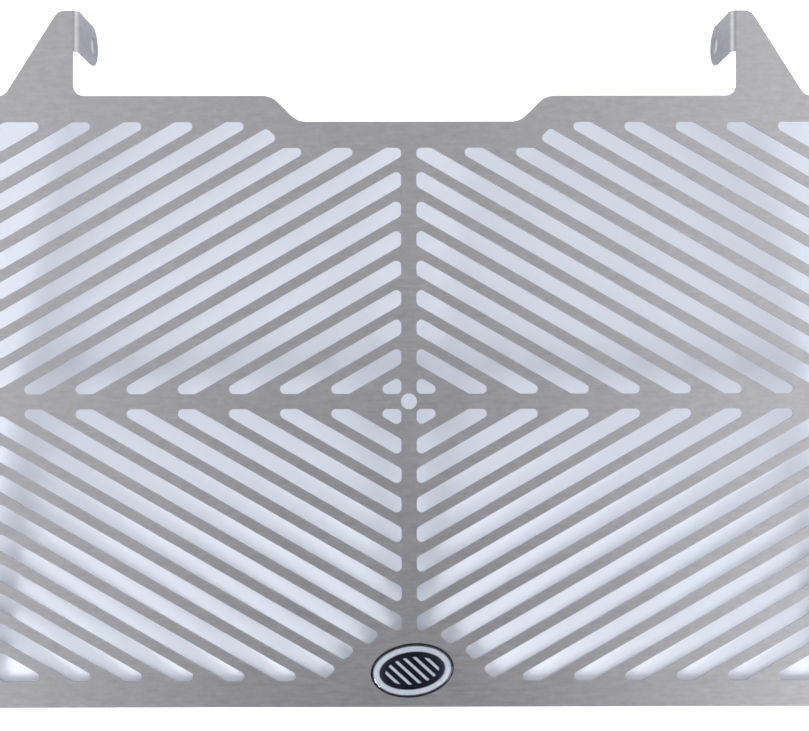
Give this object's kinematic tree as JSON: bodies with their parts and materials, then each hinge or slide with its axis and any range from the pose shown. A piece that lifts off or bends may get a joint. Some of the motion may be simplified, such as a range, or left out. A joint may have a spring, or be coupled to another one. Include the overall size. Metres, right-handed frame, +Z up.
{
  "type": "motorcycle radiator guard",
  "caption": "Flat slotted sheet-metal guard that shields a motorcycle radiator from stones, with ears, folded mounting tabs and a small domed oval badge.",
  "frame": {"origin": "middle of the small hole where the upright and the level rib cross, on the panel's front face", "axes": "+X to the right across the panel's width, +Y back to the radiator through the sheet, +Z up to the ears, as mounted"},
  "size_m": [0.3428, 0.0327, 0.2721],
  "materials": {
    "brushed_stainless": "brushed along the panel's width, satin",
    "printed_foil": "printed silver and black",
    "clear_resin": "clear glossy resin"
  },
  "bodies": {
    "root": {"guard_panel": "brushed_stainless", "badge_foil": "printed_foil", "badge_dome": "clear_resin"}
  },
  "joints": []
}
